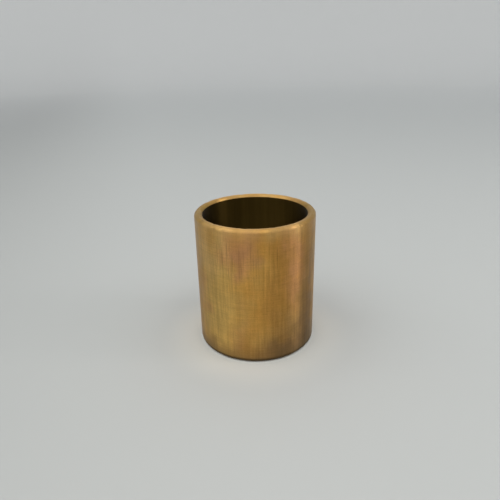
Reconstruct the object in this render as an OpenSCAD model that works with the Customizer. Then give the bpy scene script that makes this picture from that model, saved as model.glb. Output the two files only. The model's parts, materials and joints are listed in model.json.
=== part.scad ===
// Plain bronze sleeve bushing: one straight-walled tube turned from a single
// piece of cast bronze. Its bore runs on a shaft and its outside is pressed
// into a housing. Both ends are faced square and both corners of each end
// are broken by a chamfer.
//
// Millimetres. The origin is the centre of the bottom end face and +Z runs
// up the bore, so the sleeve stands on the plane z = 0.

/* [Sleeve] */
// Diameter of the bore, the nominal size of the shaft that runs in it
bore_d = 45; // [30:0.5:80]
// Thickness of the wall between the bore and the outside
wall = 3.5; // [2.5:0.25:8]
// Length from end face to end face
length = 60; // [20:1:120]

/* [Edges] */
// Width of the 45 degree lead-in chamfer on the outside, at each end
outer_chamfer = 1; // [0.2:0.1:1.2]
// Width of the 45 degree chamfer at each mouth of the bore
bore_chamfer = 1; // [0.2:0.1:1.2]

/* [Hidden] */
$fn = 180;
bore_r = bore_d / 2;
outer_r = bore_r + wall;
// Radii of the flat ring that is left on each end face between the chamfers
face_inner_r = bore_r + bore_chamfer;
face_outer_r = outer_r - outer_chamfer;

// Half section of the wall, drawn with X as the radius and Y as the height
module wall_section() {
    polygon([
        [bore_r, bore_chamfer],
        [face_inner_r, 0],
        [face_outer_r, 0],
        [outer_r, outer_chamfer],
        [outer_r, length - outer_chamfer],
        [face_outer_r, length],
        [face_inner_r, length],
        [bore_r, length - bore_chamfer]
    ]);
}

// The whole bushing, as it leaves the lathe
module sleeve() {
    color("#9C7743")
        rotate_extrude()
            wall_section();
}

sleeve();
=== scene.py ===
"""Bronze sleeve bushing on a pale studio floor.

One turned piece stands for the CAD node: the same sleeve with its corners softly broken, small nicks and
dents of handling, and a bronze finish. Lengths are in metres, apart from those of the bronze's stains,
painted shade and patterns, which are in mm.
"""
import json
import math

import bpy
import numpy as np
from mathutils import Matrix, Vector


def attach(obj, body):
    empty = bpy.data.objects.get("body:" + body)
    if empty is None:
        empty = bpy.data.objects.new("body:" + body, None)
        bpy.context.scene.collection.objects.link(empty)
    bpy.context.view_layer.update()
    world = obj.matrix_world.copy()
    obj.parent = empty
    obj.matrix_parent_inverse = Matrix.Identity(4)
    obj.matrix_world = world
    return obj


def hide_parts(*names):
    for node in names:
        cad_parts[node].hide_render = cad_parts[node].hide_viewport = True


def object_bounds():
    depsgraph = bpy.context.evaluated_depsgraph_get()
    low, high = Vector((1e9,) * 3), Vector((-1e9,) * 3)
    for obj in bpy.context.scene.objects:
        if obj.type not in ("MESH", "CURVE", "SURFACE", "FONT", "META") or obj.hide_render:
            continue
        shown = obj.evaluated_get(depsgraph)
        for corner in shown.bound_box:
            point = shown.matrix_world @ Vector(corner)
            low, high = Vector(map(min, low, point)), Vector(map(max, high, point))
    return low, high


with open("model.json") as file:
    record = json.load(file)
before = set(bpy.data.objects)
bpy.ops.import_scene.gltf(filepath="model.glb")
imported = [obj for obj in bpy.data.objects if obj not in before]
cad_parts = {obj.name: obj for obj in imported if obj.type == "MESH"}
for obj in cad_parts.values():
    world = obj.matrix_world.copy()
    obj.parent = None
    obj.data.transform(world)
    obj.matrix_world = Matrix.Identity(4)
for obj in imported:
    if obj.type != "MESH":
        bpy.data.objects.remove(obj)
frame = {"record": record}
CAD_LOW, CAD_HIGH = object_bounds()

MM = 0.001
SEED = 7

# ---------------------------------------------------------------- sizes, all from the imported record

MOUNTS = {mount["name"]: mount["dims"] for mount in frame["record"]["mounts"]}
BORE_R = MOUNTS["bore"]["r_mm"] * MM
OUTER_R = MOUNTS["outside_diameter"]["r_mm"] * MM
BOTTOM = CAD_LOW.z
TOP = CAD_HIGH.z
LENGTH = TOP - BOTTOM
BORE_CHAMFER = (LENGTH - MOUNTS["bore"]["length_mm"] * MM) / 2
OUTER_CHAMFER = (LENGTH - MOUNTS["outside_diameter"]["length_mm"] * MM) / 2

# ---------------------------------------------------------------- camera

# Where the camera stands, in outer radii from the centre of the bottom face
CAMERA_BACK = 7.330
CAMERA_UP = 4.679
CAMERA_PITCH = math.radians(22.87)
CAMERA_YAW = math.radians(-0.74)
CAMERA_ROLL = math.radians(-1.31)
CAMERA_LENS_MM = 33.56
CAMERA_SENSOR_MM = 36.0
# The nearest and the farthest that it sees
CAMERA_NEAR = 0.005
CAMERA_FAR = 20


def add_camera():
    """A level view from the front and above, turned and tilted by the small angles above."""
    forward = Vector((
        math.sin(CAMERA_YAW) * math.cos(CAMERA_PITCH),
        math.cos(CAMERA_YAW) * math.cos(CAMERA_PITCH),
        -math.sin(CAMERA_PITCH),
    ))
    right = Vector((math.cos(CAMERA_YAW), -math.sin(CAMERA_YAW), 0))
    up = right.cross(forward)
    turn = Matrix((right, up, -forward)).transposed() @ Matrix.Rotation(CAMERA_ROLL, 3, "Z")
    data = bpy.data.cameras.new("camera")
    data.lens = CAMERA_LENS_MM
    data.sensor_width = CAMERA_SENSOR_MM
    data.clip_start = CAMERA_NEAR
    data.clip_end = CAMERA_FAR
    camera = bpy.data.objects.new("camera", data)
    place = Vector((0, -CAMERA_BACK * OUTER_R, BOTTOM + CAMERA_UP * OUTER_R))
    camera.matrix_world = Matrix.Translation(place) @ turn.to_4x4()
    bpy.context.scene.collection.objects.link(camera)
    bpy.context.scene.camera = camera


# ---------------------------------------------------------------- the sleeve's shape

# Steps round the sleeve, and the length of a step along its walls and along its rims
AROUND = 480
WALL_STEP = 0.9 * MM
RIM_STEP = 0.2 * MM
# Length taken off each side of a corner by its rounding, and the steps across it
CORNER_BREAK = 0.5 * MM
CORNER_STEPS = 5
# Handling marks, nicks on the corners and dents on the outside: sizes in mm, depths as parts of the size
NICK_SIZES = (0.35, 1.1)
NICK_DEPTHS = (0.06, 0.15)
DENTS = 26
DENT_SIZES = (0.7, 2.2)
DENT_DEPTHS = (0.008, 0.02)
# Length at each end of the outside that stays free of dents
DENT_MARGIN = 3 * MM
# The map that holds the walls and rims as straight strips, U round the sleeve and V along its profile
STRIP_MAP = "OFBake"
STRIPS = {
    "outside": (0.01, 0.37),
    "top_rim": (0.39, 0.49),
    "bore": (0.51, 0.87),
    "bottom_rim": (0.89, 0.99),
}


class Stretch:
    """A straight part of the wall's section, from one corner to the next, and how finely it is cut."""

    def __init__(self, name, start, end, step):
        self.name = name
        self.start = np.array(start)
        self.end = np.array(end)
        self.step = step
        self.along = (self.end - self.start) / np.linalg.norm(self.end - self.start)

    def points(self):
        first = self.start + self.along * CORNER_BREAK
        last = self.end - self.along * CORNER_BREAK
        count = max(1, round(float(np.linalg.norm(last - first)) / self.step))
        return [first + (last - first) * i / count for i in range(count + 1)]


def wall_section():
    """The section of the wall as stretches, anticlockwise with the radius across and the height up."""
    outer_top = TOP - OUTER_CHAMFER
    outer_bottom = BOTTOM + OUTER_CHAMFER
    bore_top = TOP - BORE_CHAMFER
    bore_bottom = BOTTOM + BORE_CHAMFER
    face_outer = OUTER_R - OUTER_CHAMFER
    face_inner = BORE_R + BORE_CHAMFER
    corners = [
        ("outside", (OUTER_R, outer_bottom), WALL_STEP),
        ("outer_chamfer_top", (OUTER_R, outer_top), RIM_STEP),
        ("face_top", (face_outer, TOP), RIM_STEP),
        ("bore_chamfer_top", (face_inner, TOP), RIM_STEP),
        ("bore", (BORE_R, bore_top), WALL_STEP),
        ("bore_chamfer_bottom", (BORE_R, bore_bottom), RIM_STEP),
        ("face_bottom", (face_inner, BOTTOM), RIM_STEP),
        ("outer_chamfer_bottom", (face_outer, BOTTOM), RIM_STEP),
    ]
    stretches = []
    for i, (name, start, step) in enumerate(corners):
        end = corners[(i + 1) % len(corners)][1]
        stretches.append(Stretch(name, start, end, step))
    return stretches


def section_rows():
    """Rows of the section: arrays of (radius, height), of outward normals, and the stretch each is on."""
    points = []
    names = []
    stretches = wall_section()
    for i, stretch in enumerate(stretches):
        following = stretches[(i + 1) % len(stretches)]
        own = stretch.points()
        points += own
        names += [stretch.name] * len(own)
        corner = stretch.end
        start = own[-1]
        end = corner + following.along * CORNER_BREAK
        for k in range(1, CORNER_STEPS):
            t = k / CORNER_STEPS
            points.append((1 - t) ** 2 * start + 2 * t * (1 - t) * corner + t ** 2 * end)
            nearest = stretch.name if t < 0.5 else following.name
            names.append("bore_corner" if nearest == "bore" else "corner")
    points = np.array(points)
    tangent = np.roll(points, -1, 0) - np.roll(points, 1, 0)
    normals = np.stack([tangent[:, 1], -tangent[:, 0]], 1)
    normals /= np.linalg.norm(normals, axis=1)[:, None]
    return points, normals, names


def add_dents(places, normals, dents):
    """Pushes the points in, along their normals, by a smooth hollow for each (centre, size, depth)."""
    depth = np.zeros(len(places))
    for centre, size, deep in dents:
        away = np.sum((places - centre) ** 2, axis=1) / size ** 2
        depth = np.maximum(depth, deep * np.exp(-away))
    return places - normals * depth[:, None]


def dent_list():
    """Handling marks: small nicks on the rims' corners and shallow dents on the outside."""
    rng = np.random.default_rng(SEED)
    dents = []

    def at(angle, radius, height):
        return np.array([radius * math.sin(angle), -radius * math.cos(angle), height])

    # Radius, height and number of nicks of each corner that takes them
    rims = [
        (BORE_R, TOP - BORE_CHAMFER, 46),
        (BORE_R + BORE_CHAMFER, TOP, 34),
        (OUTER_R - OUTER_CHAMFER, TOP, 34),
        (OUTER_R, TOP - OUTER_CHAMFER, 40),
        (OUTER_R - OUTER_CHAMFER, BOTTOM, 30),
        (OUTER_R, BOTTOM + OUTER_CHAMFER, 40),
        (BORE_R, BOTTOM + BORE_CHAMFER, 30),
    ]
    for radius, height, count in rims:
        for angle in rng.uniform(0, math.tau, count):
            size = rng.uniform(*NICK_SIZES) * MM
            dents.append((at(angle, radius, height), size, size * rng.uniform(*NICK_DEPTHS)))
    for _ in range(DENTS):
        angle = rng.uniform(0, math.tau)
        height = rng.uniform(BOTTOM + DENT_MARGIN, TOP - DENT_MARGIN)
        size = rng.uniform(*DENT_SIZES) * MM
        dents.append((at(angle, OUTER_R, height), size, size * rng.uniform(*DENT_DEPTHS)))
    return dents


def strip_of(names, points, row):
    """The strip of the map that holds the faces between a row and the next one."""
    following = (row + 1) % len(points)
    for wall in ("outside", "bore"):
        if names[row] == wall and names[following] == wall:
            return wall
    return "top_rim" if points[row][1] > (BOTTOM + TOP) / 2 else "bottom_rim"


def strip_rows(names, points):
    """For each band of faces, the map's V at its first row and at its second."""
    rows = len(points)
    steps = np.linalg.norm(np.roll(points, -1, 0) - points, axis=1)
    owners = [strip_of(names, points, row) for row in range(rows)]
    lengths = {name: sum(steps[r] for r in range(rows) if owners[r] == name) for name in STRIPS}
    run = dict.fromkeys(STRIPS, 0.0)
    bands = []
    for row, name in enumerate(owners):
        low_v, high_v = STRIPS[name]
        pair = []
        for travelled in (run[name], run[name] + steps[row]):
            pair.append(low_v + (high_v - low_v) * travelled / lengths[name])
        run[name] += steps[row]
        bands.append(pair)
    return np.array(bands)


def add_strip_map(mesh, names, points):
    """Lays the grid out in straight strips, with the seam at the back."""
    bands = strip_rows(names, points)
    columns = (np.arange(AROUND) + AROUND // 2) % AROUND
    start_u = columns / AROUND
    end_u = (columns + 1) / AROUND
    corners = np.empty((len(points), AROUND, 4, 2))
    corners[:, :, 0, 0] = corners[:, :, 3, 0] = start_u
    corners[:, :, 1, 0] = corners[:, :, 2, 0] = end_u
    corners[:, :, 0, 1] = corners[:, :, 1, 1] = bands[:, 0, None]
    corners[:, :, 2, 1] = corners[:, :, 3, 1] = bands[:, 1, None]
    layer = mesh.uv_layers.new(name=STRIP_MAP)
    layer.data.foreach_set("uv", corners.ravel().tolist())


def is_on(name, part):
    """Whether a row of that name is in the bore, on an end face, or on a chamfer or corner."""
    if part == "bore":
        return name in ("bore", "bore_corner", "bore_chamfer_bottom")
    if part == "face":
        return name.startswith("face")
    return name == "corner" or "chamfer" in name


def build_sleeve():
    """The sleeve as a closed grid of the section's rows carried round the axis."""
    points, normals, names = section_rows()
    rows = len(points)
    angles = np.arange(AROUND) * math.tau / AROUND
    sin, cos = np.sin(angles), np.cos(angles)
    places = np.empty((rows, AROUND, 3))
    outward = np.empty((rows, AROUND, 3))
    for grid, pairs in ((places, points), (outward, normals)):
        grid[:, :, 0] = pairs[:, 0, None] * sin
        grid[:, :, 1] = -pairs[:, 0, None] * cos
        grid[:, :, 2] = pairs[:, 1, None]
    places = add_dents(places.reshape(-1, 3), outward.reshape(-1, 3), dent_list())

    def vertex(row, column):
        return (row % rows) * AROUND + column % AROUND

    faces = [
        (vertex(r, c), vertex(r, c + 1), vertex(r + 1, c + 1), vertex(r + 1, c))
        for r in range(rows)
        for c in range(AROUND)
    ]
    mesh = bpy.data.meshes.new("bronze_sleeve")
    mesh.from_pydata(places.tolist(), [], faces)
    mesh.polygons.foreach_set("use_smooth", [True] * len(faces))
    for part in ("bore", "face", "rim"):
        values = [float(is_on(name, part)) for name in names for _ in range(AROUND)]
        mesh.attributes.new(part, "FLOAT", "POINT").data.foreach_set("value", values)
    add_strip_map(mesh, names, points)
    mesh.update()
    sleeve = bpy.data.objects.new("bronze_sleeve", mesh)
    bpy.context.scene.collection.objects.link(sleeve)
    return sleeve


# ---------------------------------------------------------------- material nodes

class Graph:
    """Short calls that add a material's nodes and link them."""

    def __init__(self, material):
        material.use_nodes = True
        self.nodes = material.node_tree.nodes
        self.links = material.node_tree.links
        self.shader = self.nodes["Principled BSDF"]

    def put(self, socket, value):
        if isinstance(value, bpy.types.NodeSocket):
            self.links.new(value, socket)
        elif socket.type == "RGBA":
            socket.default_value = (*value, 1)
        else:
            socket.default_value = value

    def math(self, operation, *values):
        node = self.nodes.new("ShaderNodeMath")
        node.operation = operation
        for socket, value in zip(node.inputs, values):
            self.put(socket, value)
        return node.outputs[0]

    def vector(self, operation, *values):
        node = self.nodes.new("ShaderNodeVectorMath")
        node.operation = operation
        for socket, value in zip(node.inputs, values):
            self.put(socket, value)
        return node.outputs["Value" if operation in ("LENGTH", "DOT_PRODUCT") else "Vector"]

    def mix(self, factor, first, second, blend="MIX"):
        node = self.nodes.new("ShaderNodeMix")
        node.data_type = "RGBA"
        node.blend_type = blend
        self.put(node.inputs["Factor"], factor)
        self.put(node.inputs["A"], first)
        self.put(node.inputs["B"], second)
        return node.outputs["Result"]

    def span(self, value, low, high, start=0.0, end=1.0):
        """Turns low..high into start..end with soft ends."""
        node = self.nodes.new("ShaderNodeMapRange")
        node.interpolation_type = "SMOOTHSTEP"
        for socket, entry in zip(node.inputs, (value, low, high, start, end)):
            self.put(socket, entry)
        return node.outputs["Result"]

    def noise(self, vector, size, detail, roughness=0.5, output="Fac"):
        """Noise whose features are about as wide as size, in the vector's unit."""
        node = self.nodes.new("ShaderNodeTexNoise")
        self.put(node.inputs["Vector"], vector)
        self.put(node.inputs["Scale"], 1 / size)
        self.put(node.inputs["Detail"], detail)
        self.put(node.inputs["Roughness"], roughness)
        return node.outputs[output]

    def attribute(self, name):
        node = self.nodes.new("ShaderNodeAttribute")
        node.attribute_name = name
        return node.outputs["Fac"]

    def coordinates(self):
        return self.nodes.new("ShaderNodeTexCoord").outputs["Object"]

    def axes(self, vector):
        """The vector's X, Y and Z."""
        node = self.nodes.new("ShaderNodeSeparateXYZ")
        self.put(node.inputs["Vector"], vector)
        return node.outputs

    def radius(self, place):
        """The place's distance from the Z axis."""
        return self.vector("LENGTH", self.vector("MULTIPLY", place, (1, 1, 0)))

    def darken(self, colour, amount):
        """The colour with each channel multiplied by the same amount."""
        grey = self.nodes.new("ShaderNodeCombineColor")
        for socket in grey.inputs:
            self.put(socket, amount)
        return self.mix(1.0, colour, grey.outputs["Color"], "MULTIPLY")


# ---------------------------------------------------------------- stage

# Radius of the sweep and of its curve, and height of its wall
FLOOR_R = 3.0
FLOOR_CURVE = 1.2
FLOOR_WALL = 1.7
FLOOR_COLOUR = (0.500, 0.510, 0.492)
# Painted light: the paper lighter close round the sleeve, and lighter still under its edge, where its
# contact shade falls
FLOOR_PAINTED_LIGHT_BY_SLEEVE = (0.60, 0.60, 0.56)
FLOOR_PAINTED_LIGHT_UNDER_EDGE = (0.74, 0.74, 0.69)
FLOOR_SHADED = (0.370, 0.377, 0.364)
# The way the floor falls into shade, to the left and a little forwards, and how far off it is all shade
SHADE_RUN = (-1.0, -0.25, 0.0)
SHADE_REACH = 0.3
BACKDROP_COLOUR = (0.76, 0.755, 0.73)
# Radii between which the floor takes on the backdrop's colour, the painted light by the sleeve, and the
# painted light that fills the shade under the sleeve's edge
BACKDROP_SPAN = (0.2, FLOOR_R)
PAINTED_LIGHT_BY_SLEEVE_SPAN = (1.8 * OUTER_R, 0.95 * OUTER_R)
PAINTED_LIGHT_UNDER_EDGE_SPAN = (OUTER_R + 1.2 * MM, OUTER_R - 0.6 * MM)
PAPER_ROUGHNESS = 0.8
PAPER_SPECULAR = 0.2
# Radius of the floor's middle disc, steps up its curve and steps round it
FLOOR_MIDDLE = 0.25
CURVE_STEPS = 12
FLOOR_AROUND = 96


def paper_material():
    """Matt paper: painted light close round the sleeve, lighter towards the backdrop, and darker on its
    shaded side.
    """
    material = bpy.data.materials.new("floor_paper")
    graph = Graph(material)
    place = graph.coordinates()
    away = graph.radius(place)
    shaded = graph.span(graph.vector("DOT_PRODUCT", place, SHADE_RUN), 0.0, SHADE_REACH)
    colour = graph.mix(shaded, FLOOR_COLOUR, FLOOR_SHADED)
    colour = graph.mix(graph.span(away, *BACKDROP_SPAN), colour, BACKDROP_COLOUR)
    # Painted light by the sleeve and under its edge, filling the shade that falls there
    colour = graph.mix(graph.span(away, *PAINTED_LIGHT_BY_SLEEVE_SPAN), colour, FLOOR_PAINTED_LIGHT_BY_SLEEVE)
    colour = graph.mix(graph.span(away, *PAINTED_LIGHT_UNDER_EDGE_SPAN), colour, FLOOR_PAINTED_LIGHT_UNDER_EDGE)
    graph.put(graph.shader.inputs["Base Color"], colour)
    graph.put(graph.shader.inputs["Roughness"], PAPER_ROUGHNESS)
    graph.put(graph.shader.inputs["Specular IOR Level"], PAPER_SPECULAR)
    return material


def add_floor():
    """A round sweep: a flat floor that curves up into a wall on every side."""
    flat_r = FLOOR_R - FLOOR_CURVE
    profile = [(FLOOR_MIDDLE, 0.0), (flat_r, 0.0)]
    for k in range(1, CURVE_STEPS + 1):
        a = math.pi / 2 * k / CURVE_STEPS
        profile.append((flat_r + FLOOR_CURVE * math.sin(a), FLOOR_CURVE * (1 - math.cos(a))))
    profile.append((FLOOR_R, FLOOR_WALL))
    turns = [math.tau * c / FLOOR_AROUND for c in range(FLOOR_AROUND)]
    vertices = [(r * math.cos(turn), r * math.sin(turn), BOTTOM + z) for r, z in profile for turn in turns]
    vertices.append((0, 0, BOTTOM))
    centre = len(vertices) - 1
    faces = [(centre, c, (c + 1) % FLOOR_AROUND) for c in range(FLOOR_AROUND)]
    for row in range(len(profile) - 1):
        low, high = row * FLOOR_AROUND, (row + 1) * FLOOR_AROUND
        for c in range(FLOOR_AROUND):
            following = (c + 1) % FLOOR_AROUND
            faces.append((low + c, high + c, high + following, low + following))
    mesh = bpy.data.meshes.new("floor")
    mesh.from_pydata(vertices, [], faces)
    mesh.polygons.foreach_set("use_smooth", [True] * len(faces))
    mesh.materials.append(paper_material())
    floor = bpy.data.objects.new("floor", mesh)
    bpy.context.scene.collection.objects.link(floor)


def add_softbox(name, azimuth, elevation, distance, width, height, power, colour):
    """A rectangular lamp that faces the sleeve, azimuth in degrees to the right of the camera's side."""
    a, e = math.radians(azimuth), math.radians(elevation)
    direction = Vector((math.sin(a) * math.cos(e), -math.cos(a) * math.cos(e), math.sin(e)))
    data = bpy.data.lights.new(name, "AREA")
    data.shape = "RECTANGLE"
    data.size = width
    data.size_y = height
    data.energy = power
    data.color = colour
    lamp = bpy.data.objects.new(name, data)
    lamp.location = Vector((0, 0, (BOTTOM + TOP) / 2)) + direction * distance
    lamp.rotation_mode = "QUATERNION"
    lamp.rotation_quaternion = direction.to_track_quat("Z", "Y")
    lamp.visible_camera = False
    bpy.context.scene.collection.objects.link(lamp)


WORLD_COLOUR = (0.92, 0.955, 1.0)
WORLD_STRENGTH = 0.83
# name, azimuth and elevation in degrees, distance, width, height, power, colour
SOFTBOXES = [
    ("softbox_left", -76, 50, 0.9, 0.60, 0.60, 1.4, (1.0, 0.97, 0.92)),
    ("softbox_left_front", -35, 40, 0.9, 0.60, 0.60, 0.5, (1.0, 0.97, 0.92)),
    ("softbox_front", 0, 62, 0.9, 0.70, 0.50, 1.5, (1.0, 0.97, 0.92)),
    ("softbox_right", 58, 56, 0.8, 0.30, 0.50, 0.3, (1.0, 0.95, 0.88)),
    ("window_right", 83, 26, 0.8, 0.15, 0.50, 0.75, (1.0, 0.96, 0.97)),
    ("window_frame", 70, 30, 0.8, 0.10, 0.50, 0.22, (1.0, 0.96, 0.97)),
    ("strip_left", -107, 22, 0.9, 0.12, 0.50, 0.16, (1.0, 0.98, 0.93)),
]


def add_lights():
    world = bpy.data.worlds.new("studio")
    world.use_nodes = True
    background = world.node_tree.nodes["Background"]
    background.inputs["Color"].default_value = (*WORLD_COLOUR, 1)
    background.inputs["Strength"].default_value = WORLD_STRENGTH
    bpy.context.scene.world = world
    for box in SOFTBOXES:
        add_softbox(*box)
    bpy.context.scene.view_settings.view_transform = "Standard"


# ---------------------------------------------------------------- bronze

# Colours of the metal: as turned and under its oxides, painted shade, where handling keeps it bright, in
# the bore
GOLD = (0.575, 0.292, 0.062)
GREEN_GOLD = (0.610, 0.390, 0.118)
COPPER = (0.51, 0.252, 0.105)
UMBER = (0.40, 0.200, 0.050)
BROWN = (0.27, 0.155, 0.062)
# Painted shade towards the foot and low on the right
PAINTED_FOOT_SHADE = (0.17, 0.110, 0.050)
# Painted contact shade along the foot's edge
PAINTED_CONTACT_SHADE = (0.09, 0.058, 0.025)
WORN = (0.67, 0.435, 0.178)
# Painted shade for the top rim's left and right sides
OLIVE_PAINTED_SHADE = (0.62, 0.362, 0.060)
DARK_BORE = (0.079, 0.049, 0.011)

# Stains and painted shade that have a place: colour, angle in degrees right of the front, height, half
# width and half height in mm, and strength
STAINS_AND_PAINTED_SHADE = [
    # The green-gold on the left is the metal's own tint, and partly painted light that makes that side
    # lighter
    (GREEN_GOLD, -46, 24, 24, 52, 0.9),
    (GOLD, 14, 34, 15, 34, 0.7),
    (UMBER, -76, 30, 11, 60, 0.6),
    (COPPER, -58, 27, 6, 15, 0.45),
    (COPPER, -17, 50, 12, 14, 0.95),
    (COPPER, 38, 42, 8, 36, 0.8),
    (UMBER, 21, 36, 9, 42, 0.5),
    # The next seven are painted shade, not stains: darker at the foot, from the contact shade, and down
    # the right side, where the shadowed floor is reflected
    (UMBER, 6, 0, 17, 16, 0.75),
    (UMBER, 63, 24, 13, 56, 0.7),
    (BROWN, 54, 20, 9, 44, 0.6),
    (BROWN, 46, -6, 34, 38, 0.95),
    (BROWN, 42, 1, 12, 22, 0.85),
    (PAINTED_FOOT_SHADE, 57, -4, 26, 24, 0.6),
    (BROWN, -52, -3, 21, 15, 0.65),
    (WORN, -52, 47, 18, 13, 0.5),
]
# Painted shade in the same form on the top rim's left and right sides, over its worn metal
RIM_PAINTED_SHADE = [
    (OLIVE_PAINTED_SHADE, -92, 60, 21, 10, 0.9),
    (OLIVE_PAINTED_SHADE, 90, 60, 20, 10, 0.75),
]
# Where the fine upright scratches are strongest: angle, height, half width and half height, and how much
# darker they are there
SCRATCHED = [
    (-24, 46, 13, 24),
    (22, 50, 8, 20),
]
SCRATCH_DEPTH = 0.14

# The noise patterns: what the height is multiplied by, the size of the features in mm, the detail and the
# roughness. A multiplier well under 1 draws the features out into upright streaks.
PATTERNS = {
    "clouds": (0.55, 14, 3, 0.5),
    "blotches": (1, 4.5, 4, 0.6),
    "streaks": (0.06, 3.2, 3, 0.6),
    "hairlines": (0.06, 0.9, 2, 0.5),
    "threads": (0.03, 0.55, 1, 0.5),
    "grain": (1, 0.5, 2, 0.5),
    "pits": (1, 0.8, 2, 0.5),
}
GROOVE_SIZE = 0.3
GROOVE_DETAIL = 3
GROOVE_ROUGHNESS = 0.7
# How fast the grooves' pattern changes across the sleeve, along X and along Y, so that it isn't the same
# all the way round
GROOVE_DRIFT = (0.03, 0.02)
# How far out a stain starts and where it is full, as parts of its half width and half height
STAIN_FADE = (1.0, 0.15)
# The noise that bends the stains' outlines: the size of its features, and how far it moves a point, in mm
WANDER_SIZE = 9
WANDER_DETAIL = 2
WANDER_REACH = (14, 14, 20)

# Spans of a pattern: its low and high values, then what they become where that isn't 0 and 1
GREEN_CLOUDS = (0.35, 0.72, 0.0, 0.75)
COPPER_CLOUDS = (0.46, 0.26, 0.0, 0.55)
STREAK_LIGHT = (0.3, 0.7, 0.955, 1.04)
HAIR_LIGHT = (0.3, 0.7, -0.5, 0.5)
HAIR_STRENGTH = (0.35, 0.6, 0.07, 0.20)
THREAD_MASK = (0.58, 0.70)
THREAD_DEPTH = (0.4, 0.6, 0.03, 0.14)
FINE_LIGHT = {
    "grooves": (0.3, 0.7, 0.93, 1.07),
    "blotches": (0.3, 0.7, 0.94, 1.06),
    "grain": (0.3, 0.7, 0.95, 1.05),
}
PIT_MASK = (0.70, 0.78)
PIT_STAIN = 0.5

# Spans over the height in mm: the painted contact shade at the foot, the painted shade above it, the worn
# top and the rim
TOP_MM = TOP / MM
CONTACT_SHADE_LINE = (2.4, 1.4, 0.0, 0.9)
FOOT_SHADE_FADE = (9.0, -2.0, 0.0, 0.6)
HANDLED = (TOP_MM - 8.0, TOP_MM + 1.0, 0.0, 0.6)
ON_RIM = (TOP_MM - 1.4, TOP_MM - 0.6)
# How far the clouds move the edges of the foot's painted shade and the worn top, in mm from their least to
# their most
EDGE_WAVER = 10
CHAMFER_WEAR = 0.3
WEAR_PATCHES = (0.25, 0.6, 0.45, 0.95)
# The bore's streaks, and its painted shade, darker towards its mouth
BORE_STREAKS = (0.35, 0.65, 0.92, 1.08)
BORE_PAINTED_SHADE_BY_DEPTH = (TOP_MM - 25.0, TOP_MM, 1.08, 0.8)

BLOTCH_ROUGHNESS = (0.3, 0.7, 0.34, 0.44)
STREAK_ROUGHNESS = (0.3, 0.7, 0.03, -0.03)
PIT_ROUGHNESS = 0.15
BORE_ROUGHNESS = 0.2
# How much each pattern adds to the relief, and the relief's strength and height
RELIEF = {"grooves": 0.8, "hairlines": 0.3, "blotches": 0.4}
RELIEF_STRENGTH = 0.35
RELIEF_HEIGHT = 0.03 * MM
# The grooves run round the sleeve, so its gloss is drawn out along its height, a quarter turn from them
ANISOTROPY = 1.0
ANISOTROPY_TURN = 0.25


def oval_mask(graph, place, angle, height, around, high):
    """A soft oval mask on the outside, 1 at its centre and 0 at its edge."""
    a = math.radians(angle)
    outer = OUTER_R / MM
    centre = (outer * math.sin(a), -outer * math.cos(a), height)
    away = graph.vector("SUBTRACT", place, centre)
    scaled = graph.vector("MULTIPLY", away, (1 / around, 1 / around, 1 / high))
    return graph.span(graph.vector("LENGTH", scaled), *STAIN_FADE)


def turning_coordinates(graph, place):
    """Coordinates that change across the tool marks: height on the walls, radius on the faces."""
    axes = graph.axes(place)
    along_x, along_y = GROOVE_DRIFT
    drift = graph.math("MULTIPLY_ADD", axes["X"], along_x, graph.math("MULTIPLY", axes["Y"], along_y))
    joined = graph.nodes.new("ShaderNodeCombineXYZ")
    for socket, value in zip(joined.inputs, (graph.radius(place), drift, axes["Z"])):
        graph.put(socket, value)
    return joined.outputs["Vector"]


def bronze_patterns(graph, place):
    """The noise patterns that the colour, the roughness and the relief share, by name."""
    patterns = {}
    for name, (upright, size, detail, roughness) in PATTERNS.items():
        drawn_out = graph.vector("MULTIPLY", place, (1, 1, upright))
        patterns[name] = graph.noise(drawn_out, size, detail, roughness)
    turned = turning_coordinates(graph, place)
    patterns["grooves"] = graph.noise(turned, GROOVE_SIZE, GROOVE_DETAIL, GROOVE_ROUGHNESS)
    patterns["pits"] = graph.span(patterns["pits"], *PIT_MASK)
    return patterns


def add_stains_and_shade(graph, colour, place, colour_ovals, where=None):
    """Lays the stains and painted shade over the colour in turn, all of them only as far as the mask where
    allows.
    """
    for pigment, *oval, strength in colour_ovals:
        mask = oval_mask(graph, place, *oval)
        if where is not None:
            mask = graph.math("MULTIPLY", mask, where)
        colour = graph.mix(graph.math("MULTIPLY", mask, strength), colour, pigment)
    return colour


def body_light(graph, place, patterns):
    """How much lighter or darker each point of the metal is than its pigment."""
    light = graph.span(patterns["streaks"], *STREAK_LIGHT)
    hair_strength = graph.span(patterns["clouds"], *HAIR_STRENGTH)
    hair = graph.math("MULTIPLY", graph.span(patterns["hairlines"], *HAIR_LIGHT), hair_strength)
    light = graph.math("ADD", light, hair)
    depth = graph.span(patterns["streaks"], *THREAD_DEPTH)
    for patch in SCRATCHED:
        depth = graph.math("MULTIPLY_ADD", oval_mask(graph, place, *patch), SCRATCH_DEPTH, depth)
    scratches = graph.math("MULTIPLY", graph.span(patterns["threads"], *THREAD_MASK), depth)
    light = graph.math("SUBTRACT", light, scratches)
    for name, limits in FINE_LIGHT.items():
        light = graph.math("MULTIPLY", light, graph.span(patterns[name], *limits))
    return light


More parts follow.
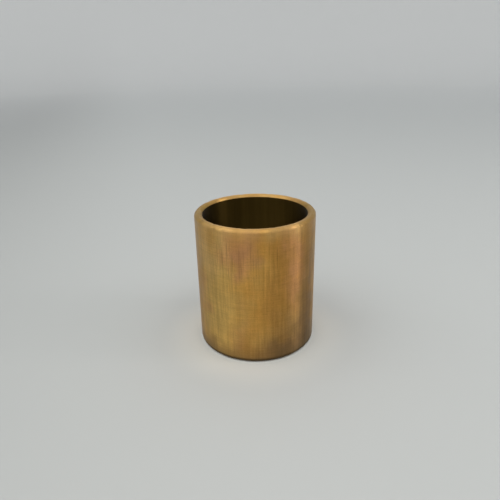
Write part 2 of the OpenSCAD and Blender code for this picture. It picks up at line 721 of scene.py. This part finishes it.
def bronze_colour(graph, place, patterns, bore):
    """The pigments in layers: the body, its stains and painted shade, the worn edges, the painted shade at
    the foot and the bore.
    """
    drift = graph.noise(place, WANDER_SIZE, WANDER_DETAIL, output="Color")
    drift = graph.vector("SUBTRACT", drift, (0.5, 0.5, 0.5))
    wandering = graph.vector("ADD", place, graph.vector("MULTIPLY", drift, WANDER_REACH))
    height = graph.axes(place)["Z"]
    clouds = patterns["clouds"]
    waver = graph.math("MULTIPLY_ADD", graph.math("SUBTRACT", clouds, 0.5), EDGE_WAVER, height)

    colour = graph.mix(graph.span(clouds, *GREEN_CLOUDS), GOLD, GREEN_GOLD)
    colour = graph.mix(graph.span(clouds, *COPPER_CLOUDS), colour, COPPER)
    # Stains, and painted shade at the foot and down the right side
    colour = add_stains_and_shade(graph, colour, wandering, STAINS_AND_PAINTED_SHADE)
    colour = graph.darken(colour, body_light(graph, place, patterns))
    colour = graph.mix(graph.math("MULTIPLY", patterns["pits"], PIT_STAIN), colour, BROWN)

    chamfer_wear = graph.math("MULTIPLY", graph.attribute("rim"), CHAMFER_WEAR)
    wear = graph.math("MAXIMUM", chamfer_wear, graph.span(waver, *HANDLED))
    wear = graph.math("MAXIMUM", wear, graph.attribute("face"))
    wear = graph.math("MULTIPLY", wear, graph.span(patterns["blotches"], *WEAR_PATCHES))
    colour = graph.mix(wear, colour, WORN)
    # Painted shade on the top rim's left and right sides
    colour = add_stains_and_shade(graph, colour, wandering, RIM_PAINTED_SHADE, graph.span(height, *ON_RIM))

    # Painted shade: the metal darker towards the foot
    colour = graph.mix(graph.span(waver, *FOOT_SHADE_FADE), colour, PAINTED_FOOT_SHADE)
    # Painted contact shade: a dark line along the foot
    colour = graph.mix(graph.span(height, *CONTACT_SHADE_LINE), colour, PAINTED_CONTACT_SHADE)

    # The bore's streaks, with painted shade that darkens it towards its mouth
    bore_streaks_and_shade = graph.span(patterns["streaks"], *BORE_STREAKS)
    bore_streaks_and_shade = graph.math("MULTIPLY", bore_streaks_and_shade, graph.span(height, *BORE_PAINTED_SHADE_BY_DEPTH))
    return graph.mix(bore, colour, graph.darken(DARK_BORE, bore_streaks_and_shade))


def bronze_roughness(graph, patterns, bore):
    roughness = graph.span(patterns["blotches"], *BLOTCH_ROUGHNESS)
    roughness = graph.math("ADD", roughness, graph.span(patterns["streaks"], *STREAK_ROUGHNESS))
    roughness = graph.math("ADD", roughness, graph.math("MULTIPLY", patterns["pits"], PIT_ROUGHNESS))
    return graph.math("ADD", roughness, graph.math("MULTIPLY", bore, BORE_ROUGHNESS))


def bronze_relief(graph, patterns):
    """The grooves, hairlines, blotches and pits as bumps."""
    relief = 0.0
    for name, share in RELIEF.items():
        relief = graph.math("ADD", relief, graph.math("MULTIPLY", patterns[name], share))
    relief = graph.math("SUBTRACT", relief, patterns["pits"])
    bump = graph.nodes.new("ShaderNodeBump")
    graph.put(bump.inputs["Strength"], RELIEF_STRENGTH)
    graph.put(bump.inputs["Distance"], RELIEF_HEIGHT)
    graph.put(bump.inputs["Height"], relief)
    return bump.outputs["Normal"]


def bronze_material():
    """Turned bronze: fine grooves, streaks and stains of oxide, painted shade low down and on the right,
    bright worn rims and a dark bore.
    """
    material = bpy.data.materials.new("bronze")
    graph = Graph(material)
    place = graph.vector("MULTIPLY", graph.coordinates(), (1 / MM,) * 3)
    patterns = bronze_patterns(graph, place)
    bore = graph.attribute("bore")
    surface = {
        "Base Color": bronze_colour(graph, place, patterns, bore),
        "Roughness": bronze_roughness(graph, patterns, bore),
        "Normal": bronze_relief(graph, patterns),
        "Metallic": 1.0,
        "Anisotropic": ANISOTROPY,
        "Anisotropic Rotation": ANISOTROPY_TURN,
    }
    for name, value in surface.items():
        graph.put(graph.shader.inputs[name], value)
    return material


# ---------------------------------------------------------------- the scene

add_camera()
add_floor()
add_lights()
sleeve = build_sleeve()
sleeve.data.materials.append(bronze_material())
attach(sleeve, "root")
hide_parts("sleeve")
